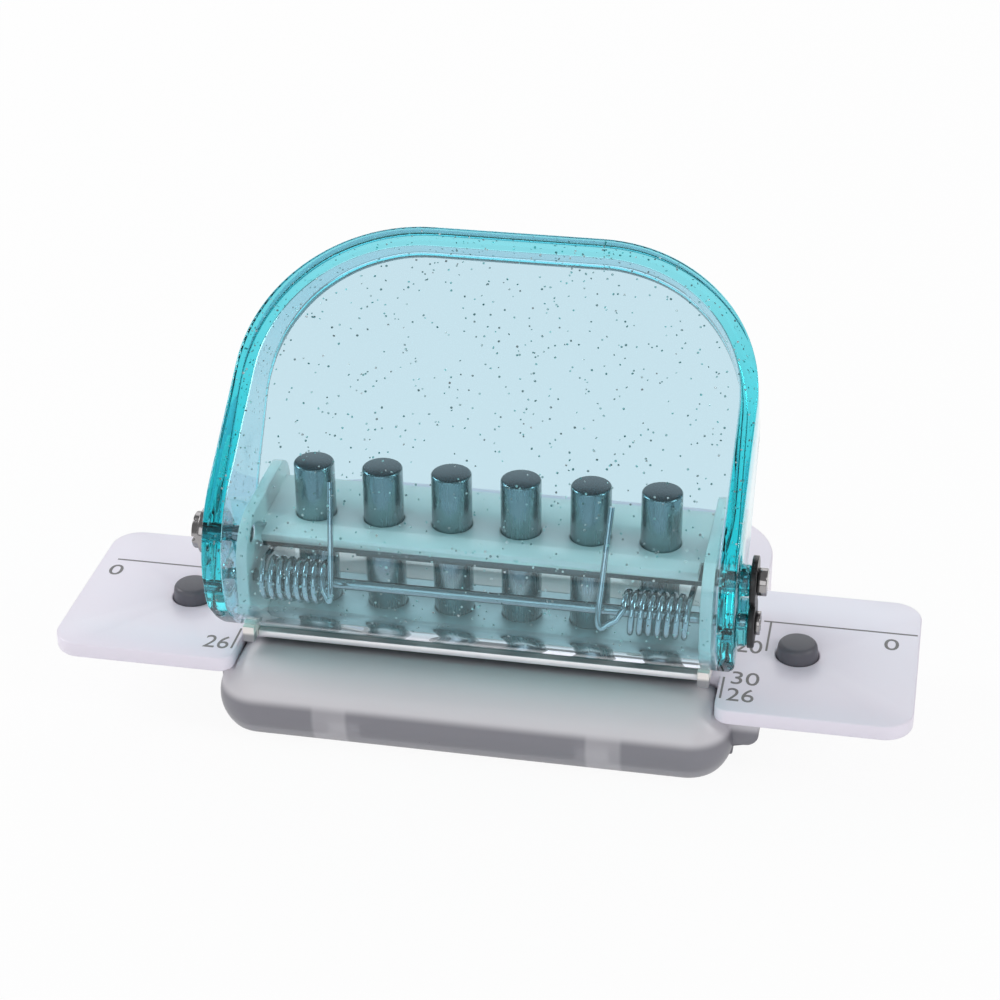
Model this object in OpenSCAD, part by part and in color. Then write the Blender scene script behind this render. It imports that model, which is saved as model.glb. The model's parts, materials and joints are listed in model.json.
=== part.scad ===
// Six-hole loose-leaf punch: a clear lever pressed down on six steel pins over a paper deck.
// The pin row runs along X, the paper goes in from the front (-Y), and z = 0 is the table.

/* [Pins] */
// Number of punch pins in the row
pin_count = 6; // [2:1:6]
// Distance from one hole to the next
hole_pitch = 9.5; // [8.5:0.1:9.6]
// Diameter of a punch pin
pin_d = 5.5; // [4.5:0.1:5.6]
// How far the pins stand above the top guide at rest
pin_stand = 7.5; // [7:0.1:8]
// Way of the pins from rest to the bottom of a stroke
pin_travel = 3.6; // [3.5:0.05:3.9]

/* [Paper deck] */
// Length of the deck with both side gauges
deck_length = 118; // [108:1:130]
// Height of the deck above the table
deck_height = 11; // [10.8:0.1:12]
// Thickness of the deck
deck_t = 2.2; // [2.1:0.1:2.6]
// Reach of the side gauges in front of the pin row
wing_front = 15; // [14:0.5:16]
// Reach of the side gauges behind the pin row
wing_back = 15.7; // [15.2:0.1:18]
// Corner radius at the ends of the side gauges
wing_corner_r = 4; // [3:0.5:9]
// Room between a cheek and the side gauge beside it
notch_room = 1; // [0.8:0.1:1.3]
// Corner radius of the gauges beside that gap
notch_corner_r = 2; // [0.5:0.1:3]
// Height of the slot that the paper goes into
paper_gap = 0.8; // [0.5:0.1:1]
// Distance from the pin row to the paper stop
paper_depth = 7.5; // [7.2:0.1:8]

/* [Base] */
// Reach of the base behind the pin row
base_back = 36.6; // [35:0.2:44]
// How far the base stands out past the lever on each side
base_room = 1.6; // [1.2:0.1:3]
// Reach of the base and of the deck over it in front of the pin row
base_front = 7; // [5:0.5:7.2]
// Corner radius at the back of the base
base_corner_r = 12; // [8:0.5:14]
// Wall thickness of the base
base_wall = 1.2; // [1:0.1:1.4]
// Thickness of the bottom cover
floor_t = 1.2; // [1:0.1:1.5]
// Distance of the bottom cover's screws from the base's sides
screw_inset = 10; // [9:0.5:14]
// Distance of the bottom cover's screws from the base's back
screw_back_inset = 7.1; // [6.5:0.1:8]

/* [Chip drawer] */
// Reach of the drawer's round front before the pin row
drawer_front = 17.4; // [17:0.1:19]
// Step from the base's side in to the drawer's round front
drawer_step = 1.4; // [0.8:0.1:1.8]
// Radius of the drawer's round front
bulge_r = 6.2; // [5.8:0.1:6.6]
// Step from the deck down to the top of the round front
bulge_drop = 0.7; // [0.5:0.1:1.2]
// Wall thickness of the drawer
drawer_wall = 1.3; // [1.1:0.1:1.6]
// Room between the drawer's back and the screws' bosses
drawer_room = 1.9; // [1:0.1:5]
// Height of the hollow behind the round front
pocket_h = 4.6; // [3.5:0.1:5]
// Place of the two bars in the round front, as a share of its half width
bar_share = 0.48; // [0.3:0.02:0.6]
// Width of such a bar
bar_w = 4.5; // [2:0.1:6]
// Sideways reach of the thumb tab
tab_reach = 3.3; // [2:0.1:4]
// Length of the thumb tab from front to back
tab_l = 4.5; // [3:0.1:4.7]
// Height of the thumb tab
tab_h = 5.1; // [3:0.1:6]

/* [Punch head] */
// Room between the last pin's middle and a cheek
row_room = 6.65; // [6.4:0.05:6.8]
// Thickness of a cheek
cheek_t = 1.6; // [1.2:0.1:1.8]
// Reach of the cheeks in front of the pin row
cheek_front = 11.5; // [11.2:0.1:11.6]
// Radius of the cheeks' top corner
cheek_r = 6.1; // [6:0.1:6.5]
// Height of the cheeks above the deck
cheek_h = 18.7; // [18.4:0.1:18.8]
// Height of the top guide's underside above the deck
guide_rise = 14.5; // [14.4:0.1:14.8]
// Thickness of the top guide
guide_t = 1.3; // [1:0.1:1.5]
// Reach of the top guide in front of the pin row
guide_front = 7; // [6.5:0.1:7.2]
// Reach of the top guide behind the pin row
guide_back = 8.6; // [7.9:0.1:9]
// Reach of the cheeks behind the pin row
head_back = 10.2; // [10:0.1:10.4]
// Where the housing's foot starts behind the pin row
foot_front = 6.4; // [6.2:0.1:6.6]
// Reach of the housing's foot behind the pin row
foot_back = 14.8; // [14.6:0.1:15]
// Place of the housing's screws, as a share of the pin row's half length
head_screw_share = 0.8; // [0.6:0.02:1]
// Thickness of the lower guide plate
stripper_t = 1; // [0.8:0.1:1.2]
// Reach of the lower guide plate in front of the pin row
stripper_front = 9.9; // [9.5:0.1:10]
// Thickness of the die plate
die_t = 1.5; // [1.2:0.1:1.6]

/* [Pin carrier] */
// Thickness of the carrier plate
carrier_t = 1.2; // [1:0.05:1.3]
// Reach of the carrier plate in front of the pin row
carrier_front = 5.6; // [5.4:0.1:6.9]
// Reach of the carrier plate behind the pin row
carrier_back = 6; // [4:0.1:7]
// Thickness of a pin's retaining clip
clip_t = 0.6; // [0.5:0.05:0.7]
// Outer radius of a pin's retaining clip
clip_r = 3.7; // [3.4:0.1:4]
// Radius of the groove that holds the clip
groove_r = 2.3; // [2:0.05:2.4]

/* [Lever] */
// Room between a cheek and the lever's side wall
lever_room = 1; // [0.8:0.1:1.2]
// Thickness of the lever's side walls and rim
lever_wall = 2.4; // [2.1:0.1:2.7]
// Thickness of the lever's front plate
lever_plate = 2; // [1.8:0.05:2.1]
// Rise of the flat plate above level
lever_rise_deg = 34.7; // [33:0.1:36]
// Length of the flat plate
lever_flat = 41.5; // [39:0.5:43]
// Outer radius of the bend at the lever's foot
lever_bend_r = 13.6; // [13.2:0.1:14]
// Middle of that bend in front of the pin row
bend_front = 3; // [2.5:0.1:3.2]
// Middle of that bend above the deck
bend_rise = 14.2; // [14:0.1:15]
// Corner radius at the top of the lever
lever_corner_r = 23.5; // [15:0.5:26]
// Corner radius at the foot of the lever
foot_corner_r = 3.2; // [2.8:0.2:7]
// Depth of the rim at the top of the lever
rim_depth = 5.4; // [4:0.1:7]
// Radius of the hinge bosses on the side walls
hinge_boss_r = 3.25; // [3:0.05:3.4]
// Radius of the stud bosses on the side walls
stud_boss_r = 2.1; // [1.9:0.05:2.4]
// Height of the bosses
boss_h = 1.2; // [0.8:0.1:1.4]
// Turn of the lever from rest to the bottom of a stroke
lever_turn_deg = 46; // [30:1:46]

/* [Hinge] */
// Hinge rod in front of the pin row
hinge_front = 8.6; // [8.5:0.1:8.8]
// Hinge rod above the deck
hinge_rise = 10; // [9.8:0.1:10.2]
// Diameter of the hinge rod
rod_d = 1.5; // [1.4:0.1:2]
// Stop studs in front of the pin row
stud_front = 8; // [7.9:0.1:8.1]
// Stop studs above the deck
stud_rise = 16; // [15.9:0.1:16.1]
// Diameter of a stop stud
stud_d = 2.2; // [1.8:0.1:2.4]
// Radius of the left stud's head
stud_head_r = 3.15; // [2.6:0.05:3.2]
// Height of the left stud's head
stud_head_h = 2; // [1.4:0.1:2.4]
// Radius of the small heads and clips on the right
small_head_r = 1.85; // [1.6:0.05:2]
// Radius of the link plate's two lobes
link_r = 3.4; // [3.2:0.05:3.6]
// Thickness of the link plate
link_t = 0.8; // [0.6:0.05:1]

/* [Springs] */
// Wire diameter of the lever springs
wire_d = 0.85; // [0.7:0.01:0.88]
// Radius of the coil at the middle of the wire
coil_r = 2.65; // [2.4:0.05:2.7]
// Turns of a lever spring
coil_turns = 7; // [4:1:7]
// Room between a cheek and the outer end of the coil
coil_room = 0.9; // [0.8:0.1:1.2]
// Length of the coil
coil_l = 9.4; // [9.2:0.1:10]
// Length of the straight leg that lies on the lever
leg_l = 16.4; // [14:0.1:17]
// Inward step from the coil to that leg
leg_step = 2.3; // [1:0.1:2.4]
// Wire diameter of a peg spring
peg_wire_d = 0.4; // [0.3:0.02:0.5]
// Turns of a peg spring
peg_turns = 3.5; // [2.5:0.5:3.5]

/* [Locating pegs] */
// Distance from the base's side out to a peg's middle
peg_room = 5.75; // [5.5:0.05:6.2]
// Diameter of a peg where it leaves the deck
peg_d = 5.7; // [5:0.1:6]
// Diameter of a peg at its top
peg_top_d = 5.3; // [4.6:0.1:5.5]
// Height of a peg above the deck
peg_h = 2; // [1.6:0.1:2.2]
// Radius of the flange under a peg
peg_flange_r = 3.4; // [3.2:0.1:3.6]
// Thickness of that flange
peg_flange_t = 0.9; // [0.7:0.1:1.1]
// Depth of the cup that holds the peg's spring
cup_h = 6.2; // [6:0.1:6.6]
// Wall thickness of the cup
cup_wall = 0.8; // [0.6:0.1:1]
// Thickness of the cap that closes the cup
cap_t = 1.2; // [1:0.1:1.4]

/* [Screws] */
// Radius of a screw's shank
screw_r = 0.95; // [0.8:0.05:1.1]
// Radius of a screw's head
screw_head_r = 1.8; // [1.6:0.1:2]
// Height of a screw's head
screw_head_h = 1; // [0.8:0.1:1.1]
// Radius of the bosses that take the screws
screw_boss_r = 2.6; // [2.2:0.1:2.8]

/* [Fits] */
// Radial clearance of a pin in its guides
run_gap = 0.04; // [0.02:0.01:0.08]
// Clearance between pieces that sit in each other
seat_gap = 0.1; // [0.05:0.01:0.15]
// Clearance between pieces that slide past each other
slide_gap = 0.3; // [0.2:0.05:0.4]

/* [Hidden] */
// Overrun of a cut past the face that it opens
over = 1;
// Facets of a full round
round_fn = 96;
fine_fn = 48;
wire_sides = 6;
rings_per_turn = 8;
$fn = fine_fn;

row_half = (pin_count - 1) / 2 * hole_pitch;
head_half = row_half + row_room;
cheek_out = head_half + cheek_t;
wall_in = cheek_out + lever_room;
lever_half = wall_in + lever_wall;
base_half = lever_half + base_room;
drawer_half = base_half - drawer_step;
notch_half = cheek_out + notch_room;
wing_half = deck_length / 2;
deck_under = deck_height - deck_t;
floor_screw_x = base_half - screw_inset;
floor_screw_y = base_back - screw_back_inset;
drawer_back = floor_screw_y - screw_boss_r - drawer_room;
bar_x = drawer_half * bar_share;
head_screw_x = row_half * head_screw_share;
coil_outer_x = head_half - coil_room;
pin_r = pin_d / 2;
bore_r = pin_r + run_gap;

stripper_z = deck_height + paper_gap;
stripper_back = foot_front - seat_gap;
guide_z = deck_height + guide_rise;
guide_top = guide_z + guide_t;
clip_z = guide_z - seat_gap - clip_t;
carrier_z = clip_z - carrier_t;
pin_low = stripper_z + seat_gap;
pin_top = guide_top + pin_stand;
cheek_top = deck_height + cheek_h;
foot_t = stripper_t + paper_gap;
boss_rise = foot_t * 2.6;
head_screw_y = (head_back + foot_back) / 2;
tooth_l = carrier_back / 2;
tooth_y = carrier_back / 6;

hinge = [-hinge_front, deck_height + hinge_rise];
stud = [-stud_front, deck_height + stud_rise];
link_span = norm(stud - hinge);
link_deg = atan2(stud[1] - hinge[1], stud[0] - hinge[0]);

boss_out = lever_half + boss_h;
link_x = boss_out + seat_gap;
link_out = link_x + link_t;
end_t = (link_t + seat_gap) * 0.7;

// The lever's side view, as points of Y and Z
bend = [-bend_front, deck_height + bend_rise];
along = [cos(lever_rise_deg), sin(lever_rise_deg)];
outward = [-sin(lever_rise_deg), cos(lever_rise_deg)];
plate_foot = bend + lever_bend_r * outward;
plate_top = plate_foot + lever_flat * along;
rim_foot = plate_top - rim_depth * outward;
bend_start_deg = 90 + lever_rise_deg;
bend_end_deg = 205;
inner_end_deg = 215;
bend_steps = 14;
lip_share = [0.6, 0.79];
lip_out = bend + lever_bend_r * [-lip_share[0], -lip_share[1]];
lip_in = lip_out + lever_plate * [0.28, 0.1];
back_steps = 16;
// Where the wall's back edge pulls to, as shares of the way from the lip to the rim
pull_low_share = [0.3, -0.035];
pull_high_share = [0.46, 0.6];

bulge_top = deck_height - bulge_drop;
bulge_z = bulge_top - bulge_r;
bulge_y = -drawer_front + bulge_r;
bulge_x = drawer_half - bulge_r;
drawer_low = floor_t + seat_gap * 2;
drawer_top = deck_under - slide_gap;
drawer_in = base_half - base_wall - slide_gap;
pocket_r = bulge_r - drawer_wall;
pocket_back = -base_front - slide_gap;
tab_y = pocket_back - tab_l;
tab_corner_r = tab_h / 3;

peg_x = base_half + peg_room;
cup_r = peg_flange_r + seat_gap * 2;
cup_low = deck_under - cup_h;
peg_hole_r = peg_d / 2 + seat_gap;
peg_flange_z = deck_under - seat_gap / 2 - peg_flange_t;
peg_spring_r = (peg_flange_r + groove_r) / 2 * 0.78;
peg_spring_low = cup_low + cap_t + peg_wire_d / 2;
peg_spring_high = peg_flange_z - peg_wire_d / 2;

coil_first_deg = 80;
coil_last_deg = 145;
coil_sweep_deg = coil_last_deg - coil_first_deg + 360 * coil_turns;
leg_clear = lever_bend_r - lever_plate - wire_d;

// Place of the pin with this number, counted from the left
function pin_x(number) = (number - (pin_count + 1) / 2) * hole_pitch;

// Points on a round of radius r about a middle, from one angle to another
function arc(middle, r, from_deg, to_deg, steps) =
    [for (i = [0 : steps]) middle + r * [for (a = [from_deg + (to_deg - from_deg) * i / steps]) each [cos(a), sin(a)]]];

// Points on a smooth curve that starts at a, is pulled to b and c, and ends at d
function pulled(a, b, c, d, steps) =
    [for (i = [0 : steps]) let (t = i / steps, u = 1 - t)
        u * u * u * a + 3 * u * u * t * b + 3 * u * t * t * c + t * t * t * d];

function way(from, to, share) = [from[0] + (to[0] - from[0]) * share[0], from[1] + (to[1] - from[1]) * share[1]];

// The least distance between points of a coil that are at least half a turn apart, less the wire
function least_gap(points, wire, apart) =
    min([for (i = [0 : len(points) - 1 - apart]) for (j = [i + apart : len(points) - 1])
        norm(points[i] - points[j])]) - wire;

function direction(points, i) =
    let (d = points[min(i + 1, len(points) - 1)] - points[max(i - 1, 0)]) d / norm(d);

// Corners of one ring of a tube: side is a vector that the tube never runs along
function ring(points, i, r, side) =
    let (t = direction(points, i), p = side - (side * t) * t, u = p / norm(p), v = cross(t, u))
    [for (k = [0 : wire_sides - 1]) let (a = 360 * k / wire_sides) points[i] + r * (cos(a) * u + sin(a) * v)];

// A closed tube along a list of points
module tube(points, r, side) {
    count = len(points);
    corners = [for (i = [0 : count - 1]) each ring(points, i, r, side)];
    n = wire_sides;
    skin = [for (i = [0 : count - 2]) for (k = [0 : n - 1]) let (a = i * n + k, b = i * n + (k + 1) % n)
        each [[a, b + n, b], [a, a + n, b + n]]];
    first_cap = [for (k = [1 : n - 2]) [0, k, k + 1]];
    last = (count - 1) * n;
    last_cap = [for (k = [1 : n - 2]) [last, last + k + 1, last + k]];
    polyhedron(points = corners, faces = [each skin, each first_cap, each last_cap], convexity = 6);
}

// What a round corner takes off a square one at x, y, which lies towards dx, dy
module corner(x, y, dx, dy, r) {
    translate([x, y]) difference() {
        translate([dx > 0 ? -r : -over, dy > 0 ? -r : -over]) square(r + over);
        translate([-dx * r, -dy * r]) circle(r, $fn = round_fn);
    }
}

// One side gauge seen from above
module wing_outline(side) {
    mirror([side < 0 ? 1 : 0, 0]) difference() {
        translate([notch_half, -wing_front]) square([wing_half - notch_half, wing_front + wing_back]);
        corner(wing_half, -wing_front, 1, -1, wing_corner_r);
        corner(wing_half, wing_back, 1, 1, wing_corner_r);
        corner(notch_half, -wing_front, -1, -1, notch_corner_r);
    }
}

// The base seen from above, drawn in by a distance
module base_outline(inset) {
    half = base_half - inset;
    back = base_back - inset;
    difference() {
        translate([-half, -base_front]) square([2 * half, back + base_front]);
        for (side = [-1, 1]) corner(side * half, back, side, 1, base_corner_r - inset);
    }
}

// A row of things, one over each pin
module at_pins() {
    for (number = [1 : pin_count]) translate([pin_x(number), 0, 0]) children();
}

// A round bar along X through a point of the side view
module cross_bar(point, r, from_x, to_x) {
    translate([from_x, point[0], point[1]]) rotate([0, 90, 0]) cylinder(h = to_x - from_x, r = r);
}

// A plate with a side view, from one X to another
module side_plate(from_x, to_x) {
    translate([from_x, 0, 0]) rotate([90, 0, 90]) linear_extrude(to_x - from_x) children();
}

module base_deck() {
    color("whitesmoke") difference() {
        union() {
            translate([0, 0, deck_under]) linear_extrude(deck_t) union() {
                wing_outline(-1);
                wing_outline(1);
                base_outline(0);
            }
            linear_extrude(deck_height - deck_t / 2) difference() {
                base_outline(0);
                base_outline(base_wall);
                translate([-base_half + base_wall, -base_front - over])
                    square([2 * (base_half - base_wall), base_front + over]);
            }
            for (side = [-1, 1]) {
                translate([side * floor_screw_x, floor_screw_y, floor_t + seat_gap])
                    cylinder(h = deck_under - floor_t, r = screw_boss_r);
                translate([side * peg_x, 0, cup_low]) cylinder(h = cup_h + deck_t / 2, r = cup_r + cup_wall);
            }
        }
        // Seat of the die plate and the chip opening under it
        translate([-head_half, -base_front - over, deck_height - die_t - seat_gap])
            cube([2 * head_half, base_front + over + paper_depth - seat_gap, die_t + over]);
        translate([-row_half - pin_d, -pin_d, deck_under - over]) cube([2 * (row_half + pin_d), 2 * pin_d, deck_t]);
        for (side = [-1, 1]) {
            translate([side * floor_screw_x, floor_screw_y, 0]) cylinder(h = deck_under, r = screw_r + seat_gap / 2);
            translate([side * peg_x, 0, cup_low - over]) cylinder(h = cup_h + over, r = cup_r);
            translate([side * peg_x, 0, cup_low]) cylinder(h = deck_height, r = peg_hole_r);
            translate([side * head_screw_x, head_screw_y, deck_under - over])
                cylinder(h = deck_t + 2 * over, r = screw_r + seat_gap);
            translate([side * head_screw_x, head_screw_y, deck_under - over])
                cylinder(h = screw_head_h + over, r = screw_head_r + seat_gap);
        }
    }
}

module base_floor() {
    color("gainsboro") difference() {
        linear_extrude(floor_t) base_outline(base_wall + seat_gap);
        for (side = [-1, 1]) translate([side * floor_screw_x, floor_screw_y, -over]) {
            cylinder(h = floor_t + 2 * over, r = screw_r + seat_gap);
            cylinder(h = over + floor_t / 2, r = screw_head_r + seat_gap);
        }
    }
}

// A screw with its head down, whose head starts at z = 0
module screw(head_h, shank_h) {
    difference() {
        union() {
            cylinder(h = head_h, r = screw_head_r);
            cylinder(h = head_h + shank_h, r = screw_r);
        }
        for (turn_deg = [0, 90]) rotate([0, 0, turn_deg])
            translate([-screw_r, -screw_r / 5, -over]) cube([2 * screw_r, screw_r / 2.5, over + head_h / 2]);
    }
}

module base_screws() {
    color("dimgray") for (side = [-1, 1])
        translate([side * floor_screw_x, floor_screw_y, seat_gap])
            screw(floor_t / 2 - seat_gap, deck_under - floor_t - screw_head_h);
}

module die_plate() {
    color("slategray") difference() {
        translate([-head_half + seat_gap, -base_front, deck_height - die_t])
            cube([2 * (head_half - seat_gap), base_front + paper_depth - 2 * seat_gap, die_t]);
        at_pins() translate([0, 0, deck_under]) cylinder(h = deck_height, r = bore_r);
    }
}

module stripper_plate() {
    color("dimgray") difference() {
        union() {
            translate([-head_half + seat_gap, -stripper_front, stripper_z])
                cube([2 * (head_half - seat_gap), stripper_front + stripper_back, stripper_t]);
            translate([-cheek_out + cheek_t / 2, -paper_depth / 2, stripper_z])
                cube([2 * cheek_out - cheek_t, paper_depth, stripper_t]);
        }
        at_pins() translate([0, 0, deck_height]) cylinder(h = deck_height, r = bore_r);
    }
}

// Side view of a cheek: round at the top corners, open over the paper slot
module cheek_outline() {
    difference() {
        translate([-cheek_front, deck_height]) square([cheek_front + head_back, cheek_h]);
        corner(-cheek_front, cheek_top, -1, 1, cheek_r);
        corner(head_back, cheek_top, 1, 1, cheek_r * 0.6);
        translate([-cheek_front - over, deck_height - over])
            square([cheek_front + over + paper_depth, paper_gap + over]);
        // Cut back where the lever's foot passes
        intersection() {
            difference() {
                translate(bend) circle(lever_bend_r + slide_gap, $fn = round_fn);
                translate(bend) circle(lever_bend_r - lever_plate - slide_gap, $fn = round_fn);
            }
            translate([-cheek_front - over, lip_out[1] - slide_gap])
                square([cheek_front + over + lip_out[0] + lever_wall, lever_bend_r]);
        }
    }
}

// The slot that a stop stud runs along while the lever turns
module stud_slot() {
    slot_r = stud_d / 2 + seat_gap;
    translate(hinge) difference() {
        circle(link_span + slot_r, $fn = round_fn);
        circle(link_span - slot_r, $fn = round_fn);
        rotate(link_deg) translate([-link_span * 2, 0]) square(link_span * 4);
        rotate(link_deg - lever_turn_deg - 180) translate([-link_span * 2, 0]) square(link_span * 4);
    }
    for (turn_deg = [0, lever_turn_deg])
        translate(hinge) rotate(link_deg - turn_deg) translate([link_span, 0]) circle(slot_r + seat_gap / 3);
}

module punch_housing() {
    color("white") difference() {
        union() {
            for (side = [-1, 1]) side_plate(side > 0 ? head_half : -cheek_out, side > 0 ? cheek_out : -head_half)
                cheek_outline();
            translate([-cheek_out, -guide_front, guide_z])
                cube([2 * cheek_out, guide_front + guide_back, guide_t]);
            translate([-cheek_out, foot_front, stripper_z])
                cube([2 * cheek_out, foot_back - foot_front, stripper_t]);
            translate([-cheek_out, paper_depth, deck_height])
                cube([2 * cheek_out, foot_back - paper_depth, foot_t]);
            for (side = [-1, 1]) translate([side * head_screw_x, head_screw_y, deck_height])
                cylinder(h = boss_rise, r = (foot_back - head_back) / 2);
        }
        at_pins() translate([0, 0, guide_z - over]) cylinder(h = guide_t + 2 * over, r = bore_r);
        cross_bar(hinge, rod_d / 2 + run_gap, -cheek_out - over, cheek_out + over);
        for (side = [-1, 1]) {
            side_plate(side * (head_half + cheek_out) / 2 - cheek_t, side * (head_half + cheek_out) / 2 + cheek_t)
                intersection() {
                    stud_slot();
                    translate([-cheek_front, deck_height]) square([cheek_front * 2, cheek_h * 2]);
                }
            translate([side * head_screw_x, head_screw_y, deck_height - over])
                cylinder(h = boss_rise, r = screw_r + seat_gap / 2);
        }
        // Seats of the lower guide plate's ends and tracks of the carrier plate's teeth
        translate([-cheek_out - over, -paper_depth / 2 - seat_gap, stripper_z - seat_gap])
            cube([2 * (cheek_out + over), paper_depth + 2 * seat_gap, stripper_t + 2 * seat_gap]);
        translate([-cheek_out - over, tooth_y - seat_gap, carrier_z - pin_travel - slide_gap])
            cube([2 * (cheek_out + over), tooth_l + 2 * seat_gap, carrier_t + pin_travel + 2 * slide_gap]);
    }
}

module housing_screws() {
    color("dimgray") for (side = [-1, 1])
        translate([side * head_screw_x, head_screw_y, deck_under + seat_gap / 2])
            screw(screw_head_h - seat_gap / 2, deck_t - screw_head_h + boss_rise - 2 * over);
}

module hinge_rod() {
    color("silver") cross_bar(hinge, rod_d / 2, -link_x - end_t, link_out + end_t);
}

// A clip on the end of the rod, open on one side
module rod_clip(from_x) {
    difference() {
        cross_bar(hinge, small_head_r * 0.86, from_x, from_x + end_t);
        cross_bar(hinge, rod_d / 2, from_x - over, from_x + end_t + over);
        translate([from_x - over, hinge[0] - rod_d / 4, hinge[1] - small_head_r * 2])
            cube([end_t + 2 * over, rod_d / 2, small_head_r * 2]);
    }
}

module rod_clip_left() {
    color("dimgray") rod_clip(-link_x - end_t);
}

module rod_clip_right() {
    color("dimgray") rod_clip(link_out + seat_gap / 2);
}

// The drawer's round front, drawn in by a distance
module round_front(inset) {
    r = bulge_r - inset;
    l = pocket_back - bulge_y;
    translate([-bulge_x, bulge_y, bulge_z - r]) cube([2 * bulge_x, l, 2 * r]);
    translate([-bulge_x, bulge_y, bulge_z]) rotate([0, 90, 0]) cylinder(h = 2 * bulge_x, r = r);
    for (side = [-1, 1]) translate([side * bulge_x, bulge_y, bulge_z]) {
        sphere(r);
        rotate([-90, 0, 0]) cylinder(h = l, r = r);
    }
}

module chip_drawer() {
    color([0.72, 0.73, 0.76, 0.6]) difference() {
        union() {
            intersection() {
                round_front(0);
                translate([-drawer_half, -drawer_front, 0])
                    cube([2 * drawer_half, drawer_front + pocket_back, bulge_top]);
            }
            translate([-drawer_in, bulge_y, drawer_low])
                cube([2 * drawer_in, drawer_back - bulge_y, drawer_top - drawer_low]);
            // Thumb tab on the right end
            translate([0, tab_y + tab_l, 0]) rotate([90, 0, 0]) linear_extrude(tab_l) difference() {
                translate([drawer_in - drawer_wall, drawer_top - tab_h])
                    square([drawer_half - drawer_in + drawer_wall + tab_reach, tab_h]);
                corner(drawer_half + tab_reach, drawer_top - tab_h, 1, -1, tab_corner_r);
            }
        }
        // Clear of the side gauges
        for (side = [-1, 1]) translate([side * (notch_half - slide_gap + drawer_half / 2), 0, drawer_top + drawer_front])
            cube([drawer_half, 2 * drawer_front, 2 * drawer_front], center = true);
        // Chip hollow, open at the top, with the pocket behind the round front
        translate([-drawer_in + drawer_wall, pocket_back - seat_gap, drawer_low + drawer_wall])
            cube([2 * (drawer_in - drawer_wall), drawer_back - drawer_wall - pocket_back + seat_gap, drawer_top]);
        difference() {
            intersection() {
                round_front(drawer_wall);
                translate([-drawer_half, -drawer_front, drawer_wall])
                    cube([2 * drawer_half, drawer_front, pocket_h]);
            }
            for (side = [-1, 1]) translate([side * bar_x - bar_w / 2, -drawer_front, 0])
                cube([bar_w, bulge_r, deck_height]);
        }
    }
}

// Side view of the lever: the plate, the bend, the lip and the walls' curved back edge
module lever_side() {
    polygon([plate_top,
        each arc(bend, lever_bend_r, bend_start_deg, bend_end_deg, bend_steps),
        each pulled(lip_out, way(lip_out, rim_foot, pull_low_share), way(lip_out, rim_foot, pull_high_share),
            rim_foot, back_steps)]);
}

// Side view of the hollow behind the plate
module hollow_side() {
    past = lever_flat / 2;
    inner = lever_bend_r - lever_plate;
    polygon([plate_top - lever_plate * outward + past * along,
        each arc(bend, inner, bend_start_deg, inner_end_deg, bend_steps),
        lip_in, lip_in - [0, past], lip_in + [3 * past, -past], plate_top + 2 * past * along]);
}

// The lever seen square to its plate, from the start of the bend up
module lever_face(inset) {
    half = lever_half - inset;
    r = lever_corner_r - inset;
    difference() {
        translate([-half, -2 * lever_flat]) square([2 * half, 3 * lever_flat - inset]);
        for (side = [-1, 1]) corner(side * half, lever_flat - inset, side, 1, r);
    }
}

// The lever seen from the front, with its round lower corners
module lever_front(inset) {
    half = lever_half - inset;
    low = lip_out[1] - lever_plate / 2;
    difference() {
        translate([-half, low]) square([2 * half, 2 * lever_flat]);
        for (side = [-1, 1]) corner(side * half, low, side, -1, foot_corner_r - inset);
    }
}

module lever_block(inset) {
    intersection() {
        translate([0, plate_foot[0], plate_foot[1]]) rotate([lever_rise_deg, 0, 0])
            translate([0, 0, -lever_flat]) linear_extrude(2 * lever_flat) lever_face(inset);
        translate([0, lever_flat, 0]) rotate([90, 0, 0]) linear_extrude(2 * lever_flat) lever_front(inset);
    }
}

module lever() {
    color([0.35, 0.82, 0.85, 0.5]) difference() {
        union() {
            difference() {
                intersection() {
                    side_plate(-lever_half, lever_half) lever_side();
                    lever_block(0);
                }
                intersection() {
                    side_plate(-lever_half, lever_half) hollow_side();
                    lever_block(lever_wall);
                }
            }
            for (x = [-boss_out, lever_half - over]) {
                cross_bar(hinge, hinge_boss_r, x, x + boss_h + over);
                cross_bar(stud, stud_boss_r, x, x + boss_h + over);
            }
        }
        cross_bar(hinge, rod_d / 2 + run_gap, -boss_out - over, boss_out + over);
        cross_bar(stud, stud_d / 2 + run_gap, -boss_out - over, boss_out + over);
    }
}

module stop_stud_left() {
    color("dimgray") difference() {
        union() {
            cross_bar(stud, stud_d / 2, -boss_out - seat_gap, -head_half - 2 * seat_gap);
            cross_bar(stud, stud_head_r, -boss_out - stud_head_h / 2, -boss_out - seat_gap / 2);
            cross_bar(stud, stud_head_r * 0.8, -boss_out - stud_head_h, -boss_out - seat_gap);
        }
        translate([-boss_out - stud_head_h * 1.5, stud[0] - stud_head_r, stud[1] - stud_d / 8])
            cube([stud_head_h * 0.75, 2 * stud_head_r, stud_d / 4]);
    }
}

module stop_stud_right() {
    color("dimgray") {
        cross_bar(stud, stud_d / 2, head_half + 2 * seat_gap, link_out + seat_gap);
        cross_bar(stud, small_head_r, link_out + seat_gap / 2, link_out + seat_gap / 2 + end_t * 2);
    }
}

module link_plate() {
    color("black") difference() {
        union() {
            cross_bar(hinge, link_r, link_x, link_out);
            cross_bar(stud, link_r, link_x, link_out);
        }
        cross_bar(hinge, rod_d / 2 + run_gap, link_x - over, link_out + over);
        cross_bar(stud, stud_d / 2 + run_gap, link_x - over, link_out + over);
    }
}

function on_coil(turned_deg) =
    let (a = coil_first_deg + turned_deg)
    [coil_outer_x - coil_l * turned_deg / coil_sweep_deg, hinge[0] + coil_r * cos(a), hinge[1] + coil_r * sin(a)];

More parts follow.
